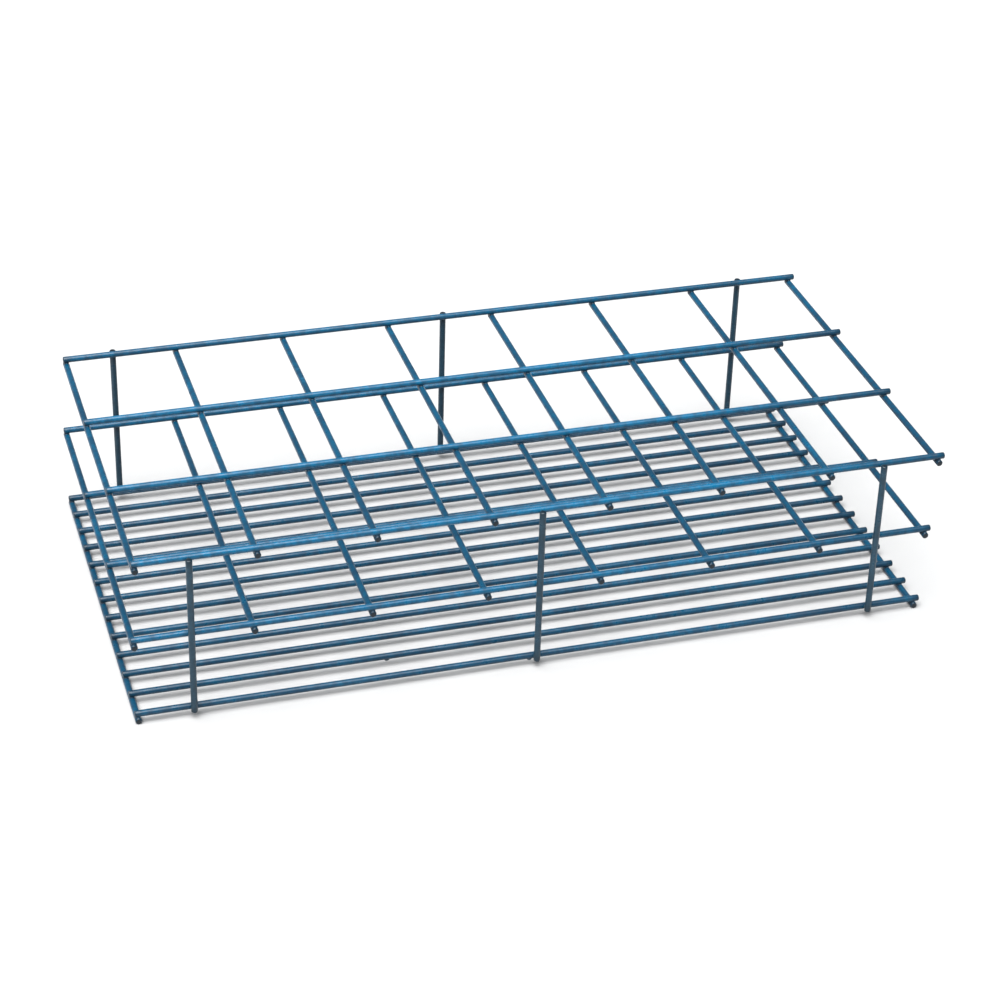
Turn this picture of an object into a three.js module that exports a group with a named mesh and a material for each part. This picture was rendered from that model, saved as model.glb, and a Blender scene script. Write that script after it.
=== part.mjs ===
import * as THREE from "three";

// Welded wire rack for large test tubes: three grids of straight coated wire held one above the other
// by six upright legs. The top and middle grids have open cells that steady the tubes, and the floor
// grid is a close row of long wires that the tubes stand on.
// Millimetres, +Z up, +X along the long wires. The origin is the centre of the rack's bounding box
// on the surface that it stands on.

// Wire
const WIRE_DIAMETER = 2.34;
const WIRE_SIDES = 16;
const END_CHAMFER = 0.25;
// Between the axes of two wires that are welded across each other
const WELD_SPACING = 2.3;

// Cells
const COLUMNS = 7;
const ROWS = 3;
const COLUMN_PITCH = 40;
const ROW_PITCH = 46.4;
const FLOOR_GAPS_PER_ROW = 4;
const TIER_RISE = 29.3;

// Wire ends, measured from the axis of the wire that they cross
const LONG_END_LEFT = 1.2;
const LONG_END_RIGHT = 2.0;
const CROSS_END = 1.6;
const LEG_END_TOP = 0.5;
const LEG_END_BOTTOM = 1.03;

// Each tier's first cross wire starts at x = shift, and its last one lies span further on. The tiers
// are hand jigged, so the lower two sit a little to the left of the top one and are a little shorter.
const TIERS = [
  { name: "floor", level: 0, shift: -1.2, span: 278.4 },
  { name: "middle", level: 1, shift: -1.4, span: 279.6 },
  { name: "top", level: 2, shift: 0, span: COLUMNS * COLUMN_PITCH },
];

// Where each leg stands along X, measured from the top tier's first cross wire
const LEGS = {
  front: { left: 17.3, middle: 136.0, right: 258.6 },
  back: { left: 17.2, middle: 141.6, right: 259.6 },
};

const flatRadius = (WIRE_DIAMETER / 2) * Math.cos(Math.PI / WIRE_SIDES);
const depth = ROWS * ROW_PITCH;
const floorWireHeight = flatRadius + WELD_SPACING;
const topWireHeight = floorWireHeight + 2 * TIER_RISE;

const AXIS_TURN = {
  x: new THREE.Euler(0, 0, -Math.PI / 2),
  y: new THREE.Euler(0, 0, 0),
  z: new THREE.Euler(Math.PI / 2, 0, 0),
};

// Blue epoxy over steel wire
function coating() {
  return new THREE.MeshStandardMaterial({ color: 0x0f62a6, roughness: 0.35, metalness: 0.0 });
}

// A straight length of wire along Y, centred on the origin, with chamfered ends. Its section is a
// regular polygon turned so that flats face up, down and to both sides.
function wireGeometry(length) {
  const radius = WIRE_DIAMETER / 2;
  const half = length / 2;
  const profile = [
    new THREE.Vector2(0, -half),
    new THREE.Vector2(radius - END_CHAMFER, -half),
    new THREE.Vector2(radius, -half + END_CHAMFER),
    new THREE.Vector2(radius, half - END_CHAMFER),
    new THREE.Vector2(radius - END_CHAMFER, half),
    new THREE.Vector2(0, half),
  ];
  return new THREE.LatheGeometry(profile, WIRE_SIDES, Math.PI / WIRE_SIDES);
}

// A named wire that runs from low to high along one axis. across holds its other two coordinates.
function wire(name, axis, low, high, across) {
  const mesh = new THREE.Mesh(wireGeometry(high - low), coating());
  mesh.name = name;
  mesh.rotation.copy(AXIS_TURN[axis]);
  mesh.position.set(across.x ?? 0, across.y ?? 0, across.z ?? 0);
  mesh.position[axis] = (low + high) / 2;
  return mesh;
}

// The long wires of one tier, front to back
function longWires(tier, count) {
  const digits = String(count).length;
  const wires = [];
  for (let i = 0; i < count; i += 1) {
    const name = `${tier.name}_long_wire_${String(i + 1).padStart(digits, "0")}`;
    const low = tier.shift - LONG_END_LEFT;
    const high = tier.shift + tier.span + LONG_END_RIGHT;
    wires.push(wire(name, "x", low, high, { y: (i * depth) / (count - 1) }));
  }
  return wires;
}

// The cross wires of one tier, left to right, welded under its long wires
function crossWires(tier, names) {
  return names.map((name, i) => {
    const x = tier.shift + (i * tier.span) / (names.length - 1);
    return wire(name, "y", -CROSS_END, depth + CROSS_END, { x, z: -WELD_SPACING });
  });
}

function tierGroup(tier) {
  const group = new THREE.Group();
  group.position.z = floorWireHeight + tier.level * TIER_RISE;
  if (tier.name === "floor") {
    group.add(...longWires(tier, ROWS * FLOOR_GAPS_PER_ROW + 1));
    group.add(...crossWires(tier, ["floor_end_wire_left", "floor_end_wire_right"]));
    return group;
  }
  const crossNames = Array.from({ length: COLUMNS + 1 }, (_, i) => `${tier.name}_cross_wire_${i + 1}`);
  group.add(...longWires(tier, ROWS + 1));
  group.add(...crossWires(tier, crossNames));
  return group;
}

// The legs of one side stand outside the outermost long wires and are welded to all three tiers
function legGroup(side, y) {
  const group = new THREE.Group();
  const low = floorWireHeight - LEG_END_BOTTOM;
  const high = topWireHeight + LEG_END_TOP;
  for (const [place, x] of Object.entries(LEGS[side])) {
    group.add(wire(`leg_${side}_${place}`, "z", low, high, { x, y }));
  }
  return group;
}

function rack() {
  const group = new THREE.Group();
  group.add(...TIERS.map(tierGroup));
  group.add(legGroup("front", -WELD_SPACING));
  group.add(legGroup("back", depth + WELD_SPACING));

  const leftEnd = Math.min(...TIERS.map((tier) => tier.shift)) - LONG_END_LEFT;
  const rightEnd = Math.max(...TIERS.map((tier) => tier.shift + tier.span)) + LONG_END_RIGHT;
  group.position.set(-(leftEnd + rightEnd) / 2, -depth / 2, 0);
  return group;
}

const group = rack();
export default group;
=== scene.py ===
"""Looks of a welded, epoxy-coated wire rack for test tubes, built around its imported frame.

Every wire of the frame is replaced by a round coated wire, and every place where two wires are
welded gets the fillet of epoxy that fills the joint. Lengths are metres and places come from the frame.
"""

import logging
import math
from dataclasses import dataclass, field
from enum import Enum

import bpy
import numpy as np
from mathutils import Euler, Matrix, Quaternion, Vector


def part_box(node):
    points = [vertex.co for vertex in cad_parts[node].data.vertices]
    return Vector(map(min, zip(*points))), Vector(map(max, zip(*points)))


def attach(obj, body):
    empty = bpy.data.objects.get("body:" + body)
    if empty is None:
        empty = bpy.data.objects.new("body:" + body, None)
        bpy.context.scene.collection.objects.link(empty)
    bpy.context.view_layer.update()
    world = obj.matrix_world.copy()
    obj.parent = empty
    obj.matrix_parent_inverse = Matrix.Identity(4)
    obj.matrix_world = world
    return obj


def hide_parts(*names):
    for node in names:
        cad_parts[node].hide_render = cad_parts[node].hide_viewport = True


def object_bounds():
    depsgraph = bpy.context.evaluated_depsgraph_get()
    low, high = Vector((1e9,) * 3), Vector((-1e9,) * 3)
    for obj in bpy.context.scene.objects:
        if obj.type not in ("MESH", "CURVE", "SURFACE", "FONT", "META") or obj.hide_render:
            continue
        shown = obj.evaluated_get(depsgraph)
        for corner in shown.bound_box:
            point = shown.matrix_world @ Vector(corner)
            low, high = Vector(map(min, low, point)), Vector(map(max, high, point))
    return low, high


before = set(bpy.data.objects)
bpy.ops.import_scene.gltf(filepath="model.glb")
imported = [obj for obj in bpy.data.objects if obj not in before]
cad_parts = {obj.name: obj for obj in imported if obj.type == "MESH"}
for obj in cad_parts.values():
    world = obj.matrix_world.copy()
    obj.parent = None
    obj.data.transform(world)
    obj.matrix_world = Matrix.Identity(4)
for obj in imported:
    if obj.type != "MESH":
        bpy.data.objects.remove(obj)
CAD_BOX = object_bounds()

# A linear colour with its alpha, and the two ends of a range
Colour = tuple[float, float, float, float]
Span = tuple[float, float]

MM = 0.001
# A fillet's width, length and height as shares of its own: inside the rack, and by a wire's end
FULL_FILLET = (1.12, 1.12, 1.05)
SNUG_FILLET = (1.0, 1.0, 1.0)
# How much painted light a wire's coat gets where nothing else is said, from 0 to 1: the share of the
# painted highlight blue mixed in
BASE_PAINTED_LIGHT = 0.14
# The middle of a noise's values
NOISE_MIDDLE = (0.5, 0.5, 0.5)
NODE_SPACING = 190
BODY = "root"
log = logging.getLogger("tube_rack")


class Run(Enum):
    """The way a straight wire runs."""

    LONG = 0
    CROSS = 1
    UPRIGHT = 2


class Coat(Enum):
    """The finishes on the rack, by the name of their material."""

    WIRE = "blue_epoxy_wire"
    # The legs and their welds wear the blue epoxy darkened with painted shade
    LEG = "dark_epoxy_leg"
    JOINT = "blue_epoxy_joint"
    LEG_JOINT = "dark_epoxy_leg_joint"


@dataclass(frozen=True)
class Noise:
    """One layer of three-dimensional noise.

    Args:
        scale: Repeats to the metre.
        detail: Octaves added to the first.
        roughness: How much each octave keeps of the one before.
        stretch: Factors on the pattern's coordinates along X, Y and Z.
    """

    scale: float
    detail: float = 2.0
    roughness: float = 0.5
    stretch: tuple[float, float, float] = (1.0, 1.0, 1.0)


class Tree:
    """A node tree that is written from left to right."""

    def __init__(self, tree: bpy.types.NodeTree) -> None:
        """Starts writing on an empty or cleared tree.

        Args:
            tree: The tree to write.
        """
        self.tree = tree
        self.column = 0

    def add(self, kind: str, **settings: object) -> bpy.types.Node:
        """Adds a node and sets its properties.

        Args:
            kind: The node's type name.
            **settings: Properties of the node, by name.

        Returns:
            The new node.
        """
        node = self.tree.nodes.new(kind)
        node.location = (self.column * NODE_SPACING, 0)
        self.column += 1
        for name, value in settings.items():
            setattr(node, name, value)
        return node

    def feed(self, node: bpy.types.Node, **inputs: object) -> bpy.types.Node:
        """Joins or sets a node's inputs.

        Args:
            node: The node to feed.
            **inputs: For each input, its name with _ for a space, and an output socket or a value.

        Returns:
            The same node.
        """
        for name, value in inputs.items():
            socket = self._socket(node, name)
            if isinstance(value, bpy.types.NodeSocket):
                self.tree.links.new(value, socket)
            else:
                socket.default_value = value
        return node

    def _socket(self, node: bpy.types.Node, name: str) -> bpy.types.NodeSocket:
        """Finds an input by its name, or by its place when the name is i and a number.

        Args:
            node: The node.
            name: The input's name with _ for a space, or i and its place.

        Returns:
            The input.

        Raises:
            KeyError: The node has no such input.
        """
        if name[0] == "i" and name[1:].isdigit():
            return node.inputs[int(name[1:])]
        wanted = name.replace("_", " ").lower()
        for socket in node.inputs:
            if socket.enabled and socket.name.lower() == wanted:
                return socket
        raise KeyError(f"{node.bl_idname} has no input {name}")

    def math(self, operation: str, first: object, second: object = 0.0) -> bpy.types.NodeSocket:
        """Adds a Math node.

        Args:
            operation: The operation's name.
            first: A socket or a number.
            second: A socket or a number.

        Returns:
            The node's output.
        """
        node = self.add("ShaderNodeMath", operation=operation)
        return self.feed(node, i0=first, i1=second).outputs[0]


class ShaderTree(Tree):
    """A material's node tree, with the pieces that the finishes share."""

    def __init__(self, material: bpy.types.Material) -> None:
        """Clears the material's tree and reads Object coordinates in metres.

        Args:
            material: The material to write.
        """
        material.use_nodes = True
        material.node_tree.nodes.clear()
        super().__init__(material.node_tree)
        self.place = self.add("ShaderNodeTexCoord").outputs["Object"]

    def noise(self, layer: Noise) -> bpy.types.NodeSocket:
        """Adds a layer of noise.

        Args:
            layer: What the noise is like.

        Returns:
            The noise, from 0 to 1.
        """
        stretched = self.add("ShaderNodeMapping")
        self.feed(stretched, Vector=self.place, Scale=layer.stretch)
        node = self.add("ShaderNodeTexNoise")
        self.feed(
            node,
            Vector=stretched.outputs[0],
            Scale=layer.scale,
            Detail=layer.detail,
            Roughness=layer.roughness,
        )
        return node.outputs["Fac"]

    def remap(self, value: bpy.types.NodeSocket, source: Span, target: Span) -> bpy.types.NodeSocket:
        """Stretches a range of values to another one, smoothly and without passing its ends.

        Args:
            value: The values.
            source: The range to read.
            target: The range to give.

        Returns:
            The new values.
        """
        node = self.add("ShaderNodeMapRange", interpolation_type="SMOOTHSTEP")
        self.feed(
            node,
            Value=value,
            From_Min=source[0],
            From_Max=source[1],
            To_Min=target[0],
            To_Max=target[1],
        )
        return node.outputs[0]

    def blend(self, share: bpy.types.NodeSocket, first: object, second: object) -> bpy.types.NodeSocket:
        """Mixes two colours.

        Args:
            share: How much of the second colour shows.
            first: A colour or a socket.
            second: A colour or a socket.

        Returns:
            The mixed colour.
        """
        node = self.add("ShaderNodeMix", data_type="RGBA")
        colours = [s for s in node.inputs if s.type == "RGBA"]
        self.feed(node, Factor=share)
        for socket, colour in zip(colours, (first, second), strict=True):
            if isinstance(colour, bpy.types.NodeSocket):
                self.tree.links.new(colour, socket)
            else:
                socket.default_value = colour
        return node.outputs[2]


@dataclass(frozen=True)
class BlueEpoxy:
    """Glossy blue epoxy that was fused on to steel wire.

    Args:
        deep: The coat's own blue.
        pale: Where the coat lies thin.
        painted_lit_blue: Painted highlight: the lighter blue that stands for the overhead light on a wire,
            mixed in by its share of painted light.
        shade: The dark parts of the mottling.
        cut: The near-black colour at a cut end and on the wire just beside it.
        scuff: Where the coat was rubbed.
        cloud: Slow changes between deep and pale.
        cloud_span: The noise that becomes all deep and all pale.
        mottle: The mottling of the colour and of the gloss.
        mottle_span: The noise that becomes no shade and the most shade.
        mottle_most: The most shade.
        gloss_span: The noise that becomes smooth and dull.
        rub: Where the scuffs are.
        rub_span: The noise that becomes no scuff and a whole scuff.
        peel: The fine orange peel.
        sag: The soft sags.
        specular: How strongly the coat mirrors.
        gloss_coat: How much of a clear top layer there is.
        gloss_coat_roughness: The top layer's roughness.
        smooth: The roughness of the glossy parts.
        dull: The roughness of the dull parts.
        peel_depth: How deep the orange peel is.
        sag_depth: How deep the sags are.
    """

    deep: Colour = (0.0003, 0.028, 0.058, 1.0)
    pale: Colour = (0.0008, 0.050, 0.100, 1.0)
    # Painted highlight: a lighter blue that stands for the overhead light on the wires
    painted_lit_blue: Colour = (0.0006, 0.090, 0.185, 1.0)
    shade: Colour = (0.0003, 0.010, 0.026, 1.0)
    cut: Colour = (0.002, 0.008, 0.014, 1.0)
    scuff: Colour = (0.03, 0.16, 0.29, 1.0)
    cloud: Noise = Noise(scale=38.0, detail=3.0)
    cloud_span: Span = (0.35, 0.7)
    mottle: Noise = Noise(scale=420.0, detail=4.0, roughness=0.6)
    mottle_span: Span = (0.35, 0.65)
    mottle_most: float = 0.5
    gloss_span: Span = (0.3, 0.7)
    rub: Noise = Noise(scale=150.0, detail=6.0, roughness=0.72, stretch=(0.25, 1.0, 1.6))
    rub_span: Span = (0.64, 0.74)
    peel: Noise = Noise(scale=1500.0, detail=1.5)
    sag: Noise = Noise(scale=260.0, detail=1.0)
    specular: float = 0.36
    gloss_coat: float = 0.07
    gloss_coat_roughness: float = 0.18
    smooth: float = 0.26
    dull: float = 0.46
    peel_depth: float = 0.035 * MM
    sag_depth: float = 0.08 * MM

    def make(self, coat: Coat, rubbed: float) -> bpy.types.Material:
        """Builds the coat's material.

        Args:
            coat: Which finish it is.
            rubbed: How much of the coat's rubbed and scuffed patches show, from 0 to 1.

        Returns:
            The material.
        """
        material = bpy.data.materials.new(coat.value)
        tree = ShaderTree(material)
        colour = self._colour(tree, rubbed)
        dullness = tree.remap(tree.noise(self.mottle), self.gloss_span, (self.smooth, self.dull))
        shader = tree.add("ShaderNodeBsdfPrincipled")
        tree.feed(
            shader,
            Base_Color=colour,
            Roughness=dullness,
            Specular_IOR_Level=self.specular,
            Coat_Weight=self.gloss_coat,
            Coat_Roughness=self.gloss_coat_roughness,
            Normal=self._relief(tree),
        )
        output = tree.add("ShaderNodeOutputMaterial")
        tree.feed(output, Surface=shader.outputs[0])
        return material

    def _colour(self, tree: ShaderTree, rubbed: float) -> bpy.types.NodeSocket:
        """Gives the coat's colour.

        Args:
            tree: The material's tree.
            rubbed: How much of the rubbed patches show.

        Returns:
            The colour.
        """
        cloud = tree.remap(tree.noise(self.cloud), self.cloud_span, (0.0, 1.0))
        mottle = tree.remap(tree.noise(self.mottle), self.mottle_span, (0.0, self.mottle_most))
        body = tree.blend(cloud, self.deep, self.pale)
        # Painted light: each wire's share mixes in the lighter painted highlight blue, most on the upper
        # tiers
        tone = tree.add("ShaderNodeAttribute", attribute_name="tone")
        body = tree.blend(tone.outputs["Fac"], body, self.painted_lit_blue)
        body = tree.blend(mottle, body, self.shade)
        scuffs = tree.remap(tree.noise(self.rub), self.rub_span, (0.0, rubbed))
        body = tree.blend(scuffs, body, self.scuff)
        # Darker at each cut end and on the wire just beside it
        tip = tree.add("ShaderNodeAttribute", attribute_name="tip")
        return tree.blend(tip.outputs["Fac"], body, self.cut)

    def _relief(self, tree: ShaderTree) -> bpy.types.NodeSocket:
        """Gives the coat's orange peel and its soft sags.

        Args:
            tree: The material's tree.

        Returns:
            The bent normal.
        """
        sags = tree.add("ShaderNodeBump")
        tree.feed(sags, Height=tree.noise(self.sag), Distance=self.sag_depth, Strength=1.0)
        peel = tree.add("ShaderNodeBump")
        tree.feed(
            peel,
            Height=tree.noise(self.peel),
            Distance=self.peel_depth,
            Strength=1.0,
            Normal=sags.outputs[0],
        )
        return peel.outputs[0]


# Painted shade: the legs' coat is the grids' blue epoxy made darker and greyer, as upright wires catch
# little of the overhead light
PAINTED_SHADE_LEG_EPOXY = BlueEpoxy(
    deep=(0.008, 0.033, 0.054, 1.0),
    pale=(0.012, 0.046, 0.075, 1.0),
    painted_lit_blue=(0.012, 0.052, 0.090, 1.0),
    shade=(0.004, 0.017, 0.028, 1.0),
    scuff=(0.05, 0.12, 0.18, 1.0),
)


@dataclass(frozen=True)
class PaleFloor:
    """Matt pale studio floor, which the softbox lights up to white.

    Args:
        white: Its paler colour.
        grey: Its darker colour.
        cloud: Slow changes between the two.
        roughness: How matt it is.
        specular: How strongly it mirrors.
    """

    white: Colour = (0.370, 0.370, 0.370, 1.0)
    grey: Colour = (0.366, 0.366, 0.366, 1.0)
    cloud: Noise = Noise(scale=1.2, detail=2.0)
    roughness: float = 0.85
    specular: float = 0.1

    def make(self) -> bpy.types.Material:
        """Builds the floor's material.

        Returns:
            The material.
        """
        material = bpy.data.materials.new("pale_floor")
        tree = ShaderTree(material)
        shader = tree.add("ShaderNodeBsdfPrincipled")
        tree.feed(
            shader,
            Base_Color=tree.blend(tree.noise(self.cloud), self.white, self.grey),
            Roughness=self.roughness,
            Specular_IOR_Level=self.specular,
        )
        output = tree.add("ShaderNodeOutputMaterial")
        tree.feed(output, Surface=shader.outputs[0])
        return material


class GrowthTree(Tree):
    """A geometry tree with named inputs that a mesh object wears as a modifier."""

    def __init__(self, name: str, inputs: dict[str, tuple[str, object]]) -> None:
        """Makes the tree and its group's inputs and output.

        Args:
            name: The tree's name.
            inputs: For each input, its socket type and the value that it starts with.
        """
        tree = bpy.data.node_groups.new(name, "GeometryNodeTree")
        super().__init__(tree)
        tree.interface.new_socket("Geometry", in_out="INPUT", socket_type="NodeSocketGeometry")
        for label, (kind, value) in inputs.items():
            socket = tree.interface.new_socket(label, in_out="INPUT", socket_type=kind)
            if value is not None:
                socket.default_value = value
        tree.interface.new_socket("Geometry", in_out="OUTPUT", socket_type="NodeSocketGeometry")
        self.inputs = self.add("NodeGroupInput").outputs

    def close(self, geometry: bpy.types.NodeSocket) -> None:
        """Ends the tree in Realize Instances and Set Material.

        Args:
            geometry: The geometry that the tree has made.
        """
        real = self.feed(self.add("GeometryNodeRealizeInstances"), Geometry=geometry)
        smooth = self.feed(self.add("GeometryNodeSetShadeSmooth"), Geometry=real.outputs[0])
        dressed = self.add("GeometryNodeSetMaterial")
        self.feed(dressed, Geometry=smooth.outputs[0], Material=self.inputs["Coat"])
        self.feed(self.add("NodeGroupOutput"), Geometry=dressed.outputs[0])

    def grow(self, seed_mesh: bpy.types.Mesh, name: str, values: dict[str, object]) -> bpy.types.Object:
        """Runs the tree on a mesh and keeps the result as a plain mesh.

        Args:
            seed_mesh: The mesh that the tree starts from.
            name: The finished piece's name.
            values: Values of the tree's inputs, by name.

        Returns:
            The finished object, at the origin and with no modifier.
        """
        piece = bpy.data.objects.new(name, seed_mesh)
        bpy.context.scene.collection.objects.link(piece)
        modifier = piece.modifiers.new("growth", "NODES")
        modifier.node_group = self.tree
        for item in self.tree.interface.items_tree:
            if item.item_type == "SOCKET" and item.in_out == "INPUT" and item.name in values:
                modifier[item.identifier] = values[item.name]
        depsgraph = bpy.context.evaluated_depsgraph_get()
        grown = bpy.data.meshes.new_from_object(piece.evaluated_get(depsgraph))
        piece.modifiers.remove(modifier)
        piece.data = grown
        grown.name = name
        bpy.data.meshes.remove(seed_mesh)
        return piece


def finish_piece(piece: bpy.types.Object, *nodes: str) -> bpy.types.Object:
    """Fixes a piece to the rack and hides the frame's nodes that it replaces.

    Args:
        piece: The finished piece.
        *nodes: The frame's nodes that it replaces, if any.

    Returns:
        The same piece.
    """
    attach(piece, BODY)
    if nodes:
        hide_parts(*nodes)
    log.info("%s: %d faces", piece.name, len(piece.data.polygons))
    return piece


@dataclass(frozen=True)
class Wire:
    """One straight wire of the frame.

    Args:
        node: The node's name.
        low: The lowest corner of its box.
        high: The highest corner of its box.
    """

    node: str
    low: Vector
    high: Vector

    @classmethod
    def named(cls, node: str) -> "Wire":
        """Reads a wire from the frame by its node's name."""
        return cls(node, *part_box(node))

    @property
    def run(self) -> Run:
        """The way that the wire runs."""
        sides = self.high - self.low
        return Run(max(range(3), key=lambda axis: sides[axis]))

    @property
    def radius(self) -> float:
        """Half of the wire's thickness across its flats."""
        return min(self.high - self.low) / 2

    @property
    def middle(self) -> Vector:
        """The middle of the wire."""
        return (self.low + self.high) / 2

    @property
    def length(self) -> float:
        """The wire's length from end to end."""
        return (self.high - self.low)[self.run.value]

    @property
    def start(self) -> Vector:
        """The lower end of the wire's axis."""
        point = self.middle.copy()
        point[self.run.value] = self.low[self.run.value]
        return point

    @property
    def direction(self) -> Vector:
        """The unit vector along the wire."""
        return Vector([float(axis == self.run.value) for axis in range(3)])


@dataclass
class WireForge:
    """Makes round coated wires along the frame's wires.

    A wire is a polyline with a girth at each point. Its ends are cut square, and the coat rounds
    their edges and swells a little over them.

    Args:
        sides: Faces round a wire.
        step: The distance between points along a wire.
        edge: The radius of the rounded edge of a cut end.
        edge_steps: Points on that edge.
        face_rings: Rings on a cut end's face, as shares of its radius.
        dome: How far the coat bulges on a cut end.
        swell: How much thinner a wire is than its end, as a share of its girth.
        swell_reach: How far from its end a wire swells.
        end_darkening: How far the coat is darkened towards the cut colour beside a cut end, from 0 to 1.
        end_darkening_reach: How far along the wire that goes.
        painted_light_fade: How much of its painted light a long wire loses by its right end.
        painted_light_fade_from: Where on its length that begins.
        ripple: How uneven the coat's thickness is, as a share of the girth.
        ripple_scale: Ripples to the metre.
        waver: How far a wire may be out of straight.
        waver_scale: Bends to the metre.
        seam: The distance within which the points at a pole or a seam become one.
    """

    sides: int = 24
    step: float = 2.6 * MM
    edge: float = 0.42 * MM
    edge_steps: int = 5
    face_rings: tuple[float, ...] = (0.0, 0.35, 0.7)
    dome: float = 0.07 * MM
    swell: float = 0.012
    swell_reach: float = 1.6 * MM
    end_darkening: float = 0.7
    end_darkening_reach: float = 2.4 * MM
    painted_light_fade: float = 0.9
    painted_light_fade_from: float = 0.68
    ripple: float = 0.016
    ripple_scale: float = 90.0
    waver: float = 0.16 * MM
    waver_scale: float = 14.0
    seam: float = 0.001 * MM
    tree: GrowthTree = field(init=False)

    def __post_init__(self) -> None:
        """Writes the tree that sweeps a wire."""
        self.tree = GrowthTree(
            "coated_wire_sweep",
            {
                "Wire Radius": ("NodeSocketFloat", 1.0 * MM),
                "Sides": ("NodeSocketInt", self.sides),
                "Ripple": ("NodeSocketFloat", self.ripple),
                "Ripple Scale": ("NodeSocketFloat", self.ripple_scale),
                "Waver": ("NodeSocketFloat", self.waver),
                "Waver Scale": ("NodeSocketFloat", self.waver_scale),
                "Seed": ("NodeSocketFloat", 0.0),
                "Coat": ("NodeSocketMaterial", None),
            },
        )
        tree, inputs = self.tree, self.tree.inputs
        place = tree.add("GeometryNodeInputPosition").outputs[0]
        wander = self._noise(inputs["Waver Scale"], place)
        centred = tree.add("ShaderNodeVectorMath", operation="SUBTRACT")
        tree.feed(centred, i0=wander.outputs["Color"], i1=NOISE_MIDDLE)
        freedom = tree.add("GeometryNodeInputNamedAttribute", data_type="FLOAT_VECTOR")
        tree.feed(freedom, Name="freedom")
        allowed = tree.add("ShaderNodeVectorMath", operation="MULTIPLY")
        tree.feed(allowed, i0=centred.outputs[0], i1=freedom.outputs[0])
        shift = tree.add("ShaderNodeVectorMath", operation="SCALE")
        tree.feed(shift, i0=allowed.outputs[0], Scale=inputs["Waver"])
        bent = tree.add("GeometryNodeSetPosition")
        tree.feed(bent, Geometry=inputs["Geometry"], Offset=shift.outputs[0])
        line = tree.feed(tree.add("GeometryNodeMeshToCurve"), Mesh=bent.outputs[0])

        lumps = self._noise(inputs["Ripple Scale"], place)
        uneven = tree.math("MULTIPLY", lumps.outputs["Fac"], inputs["Ripple"])
        thinner = tree.math("SUBTRACT", 1.0, uneven)
        girth = tree.add("GeometryNodeInputNamedAttribute", data_type="FLOAT")
        tree.feed(girth, Name="girth")
        scale = tree.math("MULTIPLY", girth.outputs[0], thinner)
        circle = tree.add("GeometryNodeCurvePrimitiveCircle", mode="RADIUS")
        tree.feed(circle, Resolution=inputs["Sides"], Radius=inputs["Wire Radius"])
        tube = tree.add("GeometryNodeCurveToMesh")
        tree.feed(tube, Curve=line.outputs[0], Profile_Curve=circle.outputs[0], Scale=scale)
        closed = tree.add("GeometryNodeMergeByDistance")
        tree.feed(closed, Geometry=tube.outputs[0], Distance=self.seam)
        tree.close(closed.outputs[0])

    def _noise(self, scale: bpy.types.NodeSocket, place: bpy.types.NodeSocket) -> bpy.types.Node:
        """Adds noise that the tree's seed moves on.

        Args:
            scale: The noise's scale.
            place: The coordinates.

        Returns:
            The noise node.
        """
        noise = self.tree.add("ShaderNodeTexNoise", noise_dimensions="4D")
        return self.tree.feed(noise, Vector=place, W=self.tree.inputs["Seed"], Scale=scale, Detail=1.0)

    def _stations(self, wire: Wire) -> tuple[np.ndarray, np.ndarray, np.ndarray]:
        """Lays out a wire's points.

        Args:
            wire: The wire.

        Returns:
            Each point's distance along the wire, its girth as a share of the wire's, and how far
            it belongs to the cut end, from 0 to 1.
        """
        turns = np.linspace(0.0, math.pi / 2, self.edge_steps)
        rounding = self.edge / wire.radius
        face = np.array(self.face_rings) * (1.0 - rounding)
        face_rise = self.dome * (1.0 - (face / (1.0 - rounding)) ** 2)
        edge_girth = 1.0 - rounding * (1.0 - np.sin(turns))
        edge_rise = self.dome + self.edge * (1.0 - np.cos(turns))
        tip_distance = np.concatenate([self.dome - face_rise, edge_rise])
        tip_girth = np.concatenate([face, edge_girth])
        inner = wire.length - 2 * tip_distance[-1]
        count = max(2, round(inner / self.step))
        body = tip_distance[-1] + inner * np.arange(1, count) / count
        distance = np.concatenate([tip_distance, body, wire.length - tip_distance[::-1]])
        girth = np.concatenate([tip_girth, np.ones(count - 1), tip_girth[::-1]])
        from_end = np.minimum(distance, wire.length - distance)
        girth *= 1.0 - self.swell * np.clip(from_end / self.swell_reach, 0.0, 1.0)
        face = 1.0 - np.clip((from_end - self.dome) / self.edge, 0.0, 1.0)
        stub = 1.0 - np.clip(from_end / self.end_darkening_reach, 0.0, 1.0)
        return distance, girth, np.maximum(face**2, self.end_darkening * stub)

    def forge(self, wire: Wire, material: bpy.types.Material, tone: float, seed: int) -> bpy.types.Object:
        """Makes one coated wire.

        Args:
            wire: The wire of the frame.
            material: Its coat.
            tone: How much painted light its coat gets, from 0 to 1.
            seed: The seed of its small unevenness.

        Returns:
            The finished wire.
        """
        distance, girth, cut = self._stations(wire)
        points = np.array(wire.start) + distance[:, None] * np.array(wire.direction)
        mesh = bpy.data.meshes.new(f"{wire.node}_line")
        links = [(i, i + 1) for i in range(len(points) - 1)]
        mesh.from_pydata(points.tolist(), links, [])
        mesh.attributes.new("girth", "FLOAT", "POINT").data.foreach_set("value", girth)
        mesh.attributes.new("tip", "FLOAT", "POINT").data.foreach_set("value", cut)
        painted_light_shares = self._painted_light_along(wire, distance, tone)
        mesh.attributes.new("tone", "FLOAT", "POINT").data.foreach_set("value", painted_light_shares)
        freedom = np.tile(self._freedom(wire), (len(points), 1))
        mesh.attributes.new("freedom", "FLOAT_VECTOR", "POINT").data.foreach_set("vector", freedom.ravel())
        values = {"Wire Radius": wire.radius, "Seed": float(seed), "Coat": material}
        piece = self.tree.grow(mesh, f"{wire.node}_coated", values)
        return finish_piece(piece, wire.node)

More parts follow.
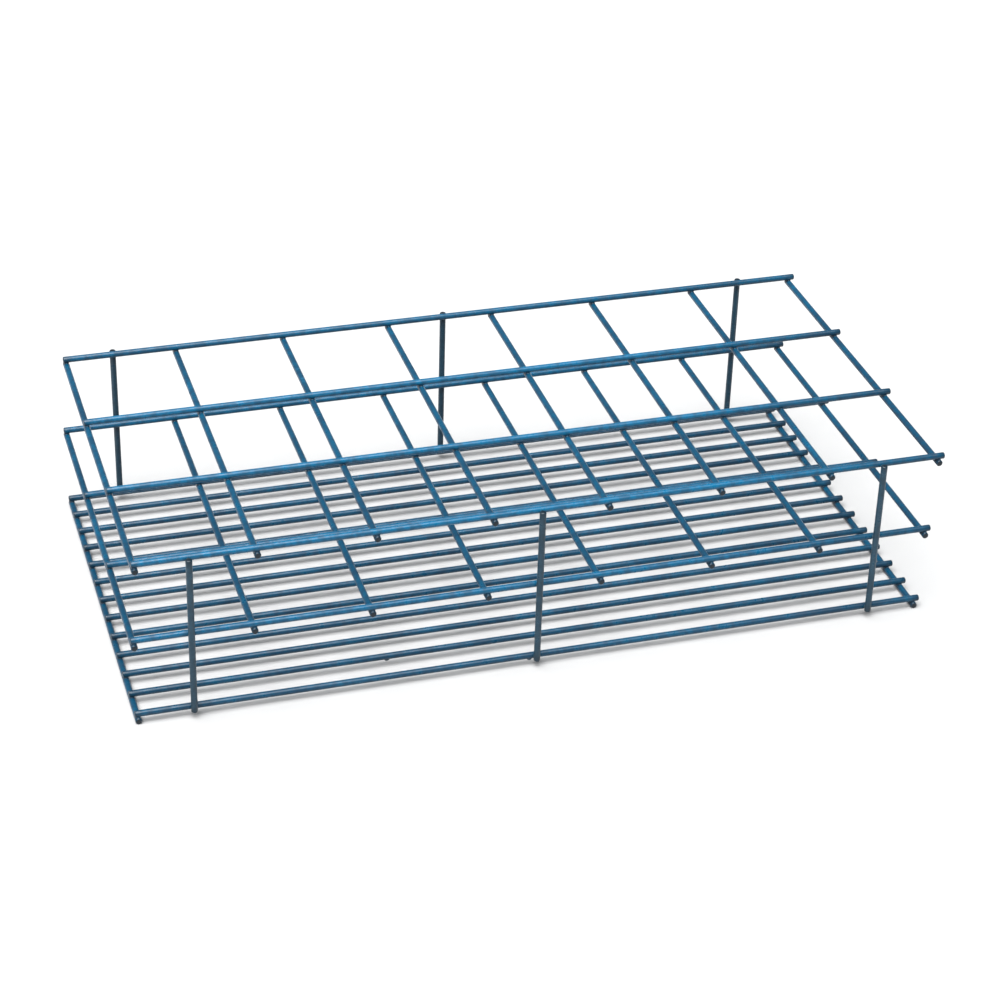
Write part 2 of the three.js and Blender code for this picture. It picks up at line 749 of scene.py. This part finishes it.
    def _painted_light_along(self, wire: Wire, distance: np.ndarray, tone: float) -> np.ndarray:
        """Fades the painted light on a long wire towards its right end.

        Args:
            wire: The wire.
            distance: Each point's distance along the wire.
            tone: The wire's share of painted light where it isn't faded.

        Returns:
            Each point's share of painted light.
        """
        if wire.run is not Run.LONG:
            return np.full(len(distance), tone)
        along = np.clip((distance / wire.length - self.painted_light_fade_from) / (1.0 - self.painted_light_fade_from), 0.0, 1.0)
        return tone * (1.0 - self.painted_light_fade * along**2 * (3.0 - 2.0 * along))

    def _freedom(self, wire: Wire) -> list[float]:
        """Says which way a wire may be a little out of straight without leaving its welds.

        Args:
            wire: The wire.

        Returns:
            A factor on the unevenness along X, Y and Z.
        """
        ways = {Run.LONG: [0.0, 1.0, 0.0], Run.CROSS: [1.0, 0.0, 0.0], Run.UPRIGHT: [1.0, 0.0, 0.0]}
        return ways[wire.run]


@dataclass(frozen=True)
class Joint:
    """A weld of two wires that cross at right angles.

    Args:
        place: The point midway between the two axes.
        turn: The turn of a joint whose near wire runs along X and lies above the other one.
        size: Factors on the fillet's own width, length and height.
    """

    place: Vector
    turn: Euler
    size: Vector = field(default_factory=lambda: Vector(SNUG_FILLET))


@dataclass
class JointFillets:
    """The epoxy that fills the corner all round each weld.

    The fillet leaves both wires at a tangent. Its shape is worked out once, for a wire along X
    above a wire along Y, and a tree sets a copy on every weld.

    Args:
        wire_radius: The wires' radius.
        spacing: The distance between the axes of two welded wires.
        reach: How far round each wire the fillet climbs.
        around: Points round the fillet.
        up: Rings of points from one wire to the other.
        bury: How far the fillet's rim lies under the wires' skin.
        pole_depth: How deep inside the wires its shell closes, as a share of their radius.
        smallest: The smallest fillet, as a share of its size.
        largest: The largest fillet.
    """

    wire_radius: float
    spacing: float
    reach: float = math.radians(52)
    around: int = 28
    up: int = 5
    bury: float = 0.03 * MM
    pole_depth: float = 0.5
    smallest: float = 0.98
    largest: float = 1.03
    tree: GrowthTree = field(init=False)

    def __post_init__(self) -> None:
        """Writes the tree that sets the fillets."""
        self.tree = GrowthTree(
            "weld_fillets",
            {
                "Fillet": ("NodeSocketObject", None),
                "Smallest": ("NodeSocketFloat", self.smallest),
                "Largest": ("NodeSocketFloat", self.largest),
                "Seed": ("NodeSocketInt", 0),
                "Coat": ("NodeSocketMaterial", None),
            },
        )
        tree, inputs = self.tree, self.tree.inputs
        shape = tree.feed(tree.add("GeometryNodeObjectInfo"), Object=inputs["Fillet"])
        turn = tree.add("GeometryNodeInputNamedAttribute", data_type="FLOAT_VECTOR")
        tree.feed(turn, Name="turn")
        turned = tree.feed(tree.add("FunctionNodeEulerToRotation"), Euler=turn.outputs[0])
        chance = tree.add("FunctionNodeRandomValue", data_type="FLOAT")
        tree.feed(chance, Min=inputs["Smallest"], Max=inputs["Largest"], Seed=inputs["Seed"])
        own = tree.add("GeometryNodeInputNamedAttribute", data_type="FLOAT_VECTOR")
        tree.feed(own, Name="size")
        size = tree.add("ShaderNodeVectorMath", operation="SCALE")
        tree.feed(size, i0=own.outputs[0], Scale=chance.outputs[1])
        copies = tree.add("GeometryNodeInstanceOnPoints")
        tree.feed(
            copies,
            Points=inputs["Geometry"],
            Instance=shape.outputs["Geometry"],
            Rotation=turned.outputs[0],
            Scale=size.outputs[0],
        )
        tree.close(copies.outputs[0])

    def _rings(self) -> np.ndarray:
        """Works out the fillet's points, ring by ring from the lower wire to the upper one.

        Returns:
            The points, as rings by points by three.
        """
        radius, half = self.wire_radius, self.spacing / 2
        skin = radius - self.bury
        run = (half - radius * math.cos(self.reach)) / math.sin(self.reach)
        corner = radius * math.sin(self.reach) - run * math.cos(self.reach)
        far = corner + run
        angle = np.arange(self.around) * 2 * math.pi / self.around
        cos, sin = np.cos(angle), np.sin(angle)
        upper = np.stack(
            [far * cos, skin * np.sin(self.reach * sin), half - skin * np.cos(self.reach * sin)], axis=1
        )
        lower = np.stack(
            [skin * np.sin(self.reach * cos), far * sin, skin * np.cos(self.reach * cos) - half], axis=1
        )
        middle = np.stack([corner * cos, corner * sin, np.zeros_like(cos)], axis=1)
        rings = []
        for t in np.linspace(0.0, 1.0, self.up):
            rings.append((1 - t) ** 2 * lower + 2 * t * (1 - t) * middle + t**2 * upper)
        return np.array(rings)

    def shape(self) -> bpy.types.Object:
        """Makes one fillet as a closed shell whose hidden side lies inside the wires.

        Returns:
            An object that the tree copies. It is removed afterwards.
        """
        rings = self._rings()
        depth = self.wire_radius * self.pole_depth
        points = [*rings.reshape(-1, 3).tolist(), [0.0, 0.0, -depth], [0.0, 0.0, depth]]
        low_pole, high_pole = len(points) - 2, len(points) - 1
        last = (self.up - 1) * self.around
        faces = []
        for i in range(self.around):
            j = (i + 1) % self.around
            for ring in range(self.up - 1):
                base = ring * self.around
                faces.append((base + i, base + j, base + self.around + j, base + self.around + i))
            faces.append((low_pole, j, i))
            faces.append((high_pole, last + i, last + j))
        mesh = bpy.data.meshes.new("fillet_shape")
        mesh.from_pydata(points, [], faces)
        shape = bpy.data.objects.new("fillet_shape", mesh)
        bpy.context.scene.collection.objects.link(shape)
        return shape

    def fill(
        self,
        name: str,
        joints: list[Joint],
        shape: bpy.types.Object,
        material: bpy.types.Material,
        seed: int,
    ) -> bpy.types.Object:
        """Sets a fillet on each of a grid's welds.

        Args:
            name: The finished piece's name.
            joints: The welds.
            shape: The fillet's shape.
            material: Its coat.
            seed: The seed of the fillets' sizes.

        Returns:
            The finished fillets, as one piece.
        """
        mesh = bpy.data.meshes.new(f"{name}_points")
        mesh.from_pydata([tuple(joint.place) for joint in joints], [], [])
        turns = np.array([tuple(joint.turn) for joint in joints], dtype=float)
        sizes = np.array([tuple(joint.size) for joint in joints], dtype=float)
        mesh.attributes.new("turn", "FLOAT_VECTOR", "POINT").data.foreach_set("vector", turns.ravel())
        mesh.attributes.new("size", "FLOAT_VECTOR", "POINT").data.foreach_set("vector", sizes.ravel())
        values = {"Fillet": shape, "Seed": seed, "Coat": material}
        return finish_piece(self.tree.grow(mesh, name, values))


@dataclass
class Grid:
    """One flat grid of long wires on cross wires.

    Args:
        name: The tier's name.
        long_painted_light: How much painted light the coat of each long wire gets, front to back, or of
            them all.
        cross_painted_light: How much painted light the coat of the cross wires gets.
    """

    name: str
    long_painted_light: tuple[float, ...] = (BASE_PAINTED_LIGHT,)
    cross_painted_light: float = BASE_PAINTED_LIGHT
    long: list[Wire] = field(init=False)
    cross: list[Wire] = field(init=False)

    def __post_init__(self) -> None:
        """Reads the tier's wires from the frame."""
        wires = [Wire.named(node) for node in sorted(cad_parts) if node.startswith(f"{self.name}_")]
        self.long = [wire for wire in wires if wire.run is Run.LONG]
        self.cross = [wire for wire in wires if wire.run is Run.CROSS]

    def wires_with_painted_light(self) -> list[tuple[Wire, float]]:
        """Lists the wires, long ones first.

        Returns:
            Each wire with its share of painted light.
        """
        painted_light_shares = self.long_painted_light * (len(self.long) // len(self.long_painted_light))
        return [*zip(self.long, painted_light_shares, strict=True), *((wire, self.cross_painted_light) for wire in self.cross)]

    def joints(self) -> list[Joint]:
        """Lists the welds of every long wire on every cross wire.

        Returns:
            The welds.
        """
        flat = Euler((0.0, 0.0, 0.0))
        found = []
        for long in self.long:
            for cross in self.cross:
                place = Vector((cross.middle.x, long.middle.y, (cross.middle.z + long.middle.z) / 2))
                stub = min(cross.middle.x - long.low.x, long.high.x - cross.middle.x)
                size = FULL_FILLET if stub > 2 * long.radius else SNUG_FILLET
                found.append(Joint(place, flat, Vector(size)))
        return found


@dataclass
class LegRow:
    """The legs of one side of the rack.

    Args:
        side: front or back.
    """

    side: str
    legs: list[Wire] = field(init=False)

    def __post_init__(self) -> None:
        """Reads the legs from the frame."""
        prefix = f"leg_{self.side}_"
        self.legs = [Wire.named(node) for node in sorted(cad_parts) if node.startswith(prefix)]

    def joints(self, grids: list[Grid]) -> list[Joint]:
        """Lists the welds of each leg on the outermost long wire of every tier.

        Args:
            grids: The tiers.

        Returns:
            The welds.
        """
        outward = 1.0 if self.side == "back" else -1.0
        turn = Euler((-outward * math.pi / 2, 0.0, math.pi))
        found = []
        for leg in self.legs:
            for grid in grids:
                rail = max(grid.long, key=lambda wire: outward * wire.middle.y)
                place = Vector((leg.middle.x, (leg.middle.y + rail.middle.y) / 2, rail.middle.z))
                stub = leg.high.z - rail.middle.z
                if stub < rail.radius:
                    place.z -= (rail.radius - stub) / 2
                    size = Vector((1.0, (rail.radius + stub) / (2 * rail.radius), 1.0))
                    found.append(Joint(place, turn, size))
                else:
                    found.append(Joint(place, turn))
        return found


@dataclass
class Drips:
    """Small drops of epoxy that set on the underside of the floor wires.

    Args:
        wire_radius: The wires' radius.
        width: A drop's half width.
        lengthwise: Its half width along the wire, as a share of width.
        crosswise: Its half width across the wire.
        hang: How far it hangs below the wire.
        bury: How high inside the wire it starts, as a share of the wire's radius.
        bluntness: The power that its outline is raised to, which blunts it under 1.
        taper: How much narrower it is at the bottom.
        rings: Steps from its top to its bottom.
        around: Points round it.
    """

    wire_radius: float
    width: float = 0.95 * MM
    lengthwise: float = 1.35
    crosswise: float = 0.8
    hang: float = 0.75 * MM
    bury: float = 0.2
    bluntness: float = 0.8
    taper: float = 0.25
    rings: int = 8
    around: int = 18

    def make(self, places: list[Vector], material: bpy.types.Material) -> bpy.types.Object:
        """Makes the drops as one piece.

        Args:
            places: The points on the wires' axes that they hang below.
            material: Their coat.

        Returns:
            The finished piece.
        """
        points, faces = [], []
        for place in places:
            self._drop(place, points, faces)
        mesh = bpy.data.meshes.new("epoxy_drips")
        mesh.from_pydata(points, [], faces)
        mesh.materials.append(material)
        mesh.shade_smooth()
        piece = bpy.data.objects.new("epoxy_drips", mesh)
        bpy.context.scene.collection.objects.link(piece)
        return finish_piece(piece)

    def _drop(self, place: Vector, points: list[list[float]], faces: list[tuple[int, ...]]) -> None:
        """Adds one drop's points and faces.

        Args:
            place: The point on the wire's axis that it hangs below.
            points: The piece's points so far.
            faces: The piece's faces so far.
        """
        first = len(points)
        top = self.bury * self.wire_radius
        bottom = -self.wire_radius - self.hang
        for ring in range(1, self.rings):
            t = ring / self.rings
            height = top + (bottom - top) * (1 - math.cos(t * math.pi)) / 2
            width = self.width * math.sin(t * math.pi) ** self.bluntness * (1.0 - self.taper * t)
            for k in range(self.around):
                angle = 2 * math.pi * k / self.around
                x = self.lengthwise * width * math.cos(angle)
                y = self.crosswise * width * math.sin(angle)
                points.append([place.x + x, place.y + y, place.z + height])
        points.append([place.x, place.y, place.z + top])
        points.append([place.x, place.y, place.z + bottom])
        upper, lower = len(points) - 2, len(points) - 1
        last = first + (self.rings - 2) * self.around
        for k in range(self.around):
            n = (k + 1) % self.around
            faces.append((upper, first + k, first + n))
            faces.append((lower, last + n, last + k))
            for ring in range(self.rings - 2):
                base = first + ring * self.around
                faces.append((base + k, base + self.around + k, base + self.around + n, base + n))


@dataclass
class Studio:
    """The plain floor, the soft light from overhead and the camera.

    Args:
        target: The point that the camera looks at.
        distance: How far the camera stands from it.
        azimuth: The camera's turn about the vertical, from straight in front.
        elevation: The camera's rise.
        roll: The camera's turn about its own line of sight.
        lens: Its focal length in millimetres.
        sensor: Its sensor's width in millimetres.
        floor_side: The side of the square floor.
        box_way: The way from the rack to the softbox.
        box_angle: The angle that the softbox fills.
        box_strength: Its strength.
        room_light: The light that comes evenly from everywhere.
        backdrop: What the camera sees above the floor.
    """

    target: Vector = field(default_factory=lambda: Vector((-0.25, -13.36, 31.45)) * MM)
    distance: float = 955.4 * MM
    azimuth: float = math.radians(-17.59)
    elevation: float = math.radians(31.70)
    roll: float = math.radians(1.877)
    lens: float = 96.94
    sensor: float = 36.0
    floor_side: float = 200.0
    box_way: Vector = field(default_factory=lambda: Vector((-0.55, -0.42, 2.0)))
    box_angle: float = math.radians(62)
    box_strength: float = 9.4
    room_light: Colour = (0.245, 0.262, 0.280, 1.0)
    backdrop: Colour = (0.97, 0.97, 0.97, 1.0)

    def build(self) -> None:
        """Builds the whole studio."""
        self._floor()
        self._world()
        self._softbox()
        self._camera()
        scene = bpy.context.scene
        scene.view_settings.view_transform = "Standard"
        scene.view_settings.look = "None"

    def _floor(self) -> None:
        """Lays the floor that the rack stands on."""
        half = self.floor_side / 2
        level = CAD_BOX[0].z
        corners = [(-half, -half, level), (half, -half, level), (half, half, level), (-half, half, level)]
        mesh = bpy.data.meshes.new("floor")
        mesh.from_pydata(corners, [], [(0, 1, 2, 3)])
        mesh.materials.append(PaleFloor().make())
        floor = bpy.data.objects.new("floor", mesh)
        bpy.context.scene.collection.objects.link(floor)

    def _world(self) -> None:
        """Fills the room with dim, even light, and shows a white backdrop above the floor."""
        world = bpy.data.worlds.new("studio")
        bpy.context.scene.world = world
        world.use_nodes = True
        world.node_tree.nodes.clear()
        tree = Tree(world.node_tree)
        room = tree.feed(tree.add("ShaderNodeBackground"), Color=self.room_light)
        backdrop = tree.feed(tree.add("ShaderNodeBackground"), Color=self.backdrop)
        seen = tree.add("ShaderNodeLightPath").outputs["Is Camera Ray"]
        choice = tree.add("ShaderNodeMixShader")
        tree.feed(choice, i0=seen, i1=room.outputs[0], i2=backdrop.outputs[0])
        tree.feed(tree.add("ShaderNodeOutputWorld"), Surface=choice.outputs[0])

    def _softbox(self) -> None:
        """Lights the rack evenly from a wide disc overhead, a little to the left and the front."""
        data = bpy.data.lights.new("overhead_softbox", "SUN")
        data.angle = self.box_angle
        data.energy = self.box_strength
        lamp = bpy.data.objects.new("overhead_softbox", data)
        lamp.rotation_euler = (-self.box_way).to_track_quat("-Z", "Y").to_euler()
        bpy.context.scene.collection.objects.link(lamp)

    def _camera(self) -> None:
        """Sets the camera."""
        back = Vector(
            (
                math.sin(self.azimuth) * math.cos(self.elevation),
                -math.cos(self.azimuth) * math.cos(self.elevation),
                math.sin(self.elevation),
            )
        )
        data = bpy.data.cameras.new("camera")
        data.lens = self.lens
        data.sensor_width = self.sensor
        camera = bpy.data.objects.new("camera", data)
        camera.location = self.target + back * self.distance
        upright = (-back).to_track_quat("-Z", "Y")
        camera.rotation_euler = (upright @ Quaternion((0.0, 0.0, 1.0), self.roll)).to_euler()
        bpy.context.scene.collection.objects.link(camera)
        bpy.context.scene.camera = camera


@dataclass
class TubeRack:
    """The whole rack.

    Args:
        grids: The tiers, from the floor up.
        leg_rows: The legs of the front and of the back.
        rubbed: How much of the grids' scuffs show, from 0 to 1.
        leg_rubbed: How much of the legs' scuffs show.
        drip_place: Where the first drip hangs, as a share of its wire's length.
        drip_from_leg: How far the second drip hangs to the left of the middle leg.
    """

    # Painted light: the upper tiers' long wires get the most painted highlight blue, the floor tier the
    # base share
    grids: list[Grid] = field(
        default_factory=lambda: [
            Grid("floor"),
            Grid("middle", long_painted_light=(0.75, 0.7, 0.75, 0.65)),
            Grid("top", long_painted_light=(0.95, 0.95, 0.95, 0.5), cross_painted_light=0.15),
        ]
    )
    leg_rows: list[LegRow] = field(default_factory=lambda: [LegRow("front"), LegRow("back")])
    rubbed: float = 0.35
    leg_rubbed: float = 0.25
    drip_place: float = 0.316
    drip_from_leg: float = 2.0 * MM

    def build(self) -> None:
        """Builds every wire, the fillets at the welds and the drips."""
        blue, dark = BlueEpoxy(), PAINTED_SHADE_LEG_EPOXY
        self._wires(blue.make(Coat.WIRE, self.rubbed), dark.make(Coat.LEG, self.leg_rubbed))
        joint_coat = blue.make(Coat.JOINT, rubbed=0.0)
        self._fillets(joint_coat, dark.make(Coat.LEG_JOINT, rubbed=0.0))
        self._drips(joint_coat)

    def _wires(self, blue: bpy.types.Material, dark: bpy.types.Material) -> None:
        """Makes a coated wire for each wire of the frame.

        Args:
            blue: The coat of the grids' wires.
            dark: The coat of the legs, darkened with painted shade.
        """
        forge = WireForge()
        wires = [(wire, blue, tone) for grid in self.grids for wire, tone in grid.wires_with_painted_light()]
        wires += [(leg, dark, BASE_PAINTED_LIGHT) for row in self.leg_rows for leg in row.legs]
        for seed, (wire, coat, tone) in enumerate(wires):
            forge.forge(wire, coat, tone, seed)

    def _fillets(self, blue: bpy.types.Material, dark: bpy.types.Material) -> None:
        """Fills the corners of every weld.

        Args:
            blue: The coat of the grids' welds.
            dark: The coat of the legs' welds, darkened with painted shade.
        """
        top = self.grids[-1]
        spacing = top.long[0].middle.z - top.cross[0].middle.z
        fillets = JointFillets(wire_radius=top.long[0].radius, spacing=spacing)
        shape = fillets.shape()
        for seed, grid in enumerate(self.grids):
            fillets.fill(f"{grid.name}_weld_fillets", grid.joints(), shape, blue, seed)
        for seed, row in enumerate(self.leg_rows, start=len(self.grids)):
            fillets.fill(f"{row.side}_leg_weld_fillets", row.joints(self.grids), shape, dark, seed)
        mesh = shape.data
        bpy.data.objects.remove(shape)
        bpy.data.meshes.remove(mesh)

    def _drips(self, material: bpy.types.Material) -> None:
        """Hangs the drips under the floor's front wires.

        Args:
            material: The drips' coat.
        """
        floor = self.grids[0]
        second, first = floor.long[1], floor.long[0]
        leg = next(leg for leg in self.leg_rows[0].legs if leg.node.endswith("middle"))
        places = [
            second.start + second.direction * (self.drip_place * second.length),
            Vector((leg.middle.x - self.drip_from_leg, first.middle.y, first.middle.z)),
        ]
        Drips(first.radius).make(places, material)


def main() -> None:
    """Builds the rack in its studio."""
    logging.basicConfig(level=logging.INFO, format="%(name)s %(message)s")
    Studio().build()
    TubeRack().build()


if __name__ == "__main__":
    main()
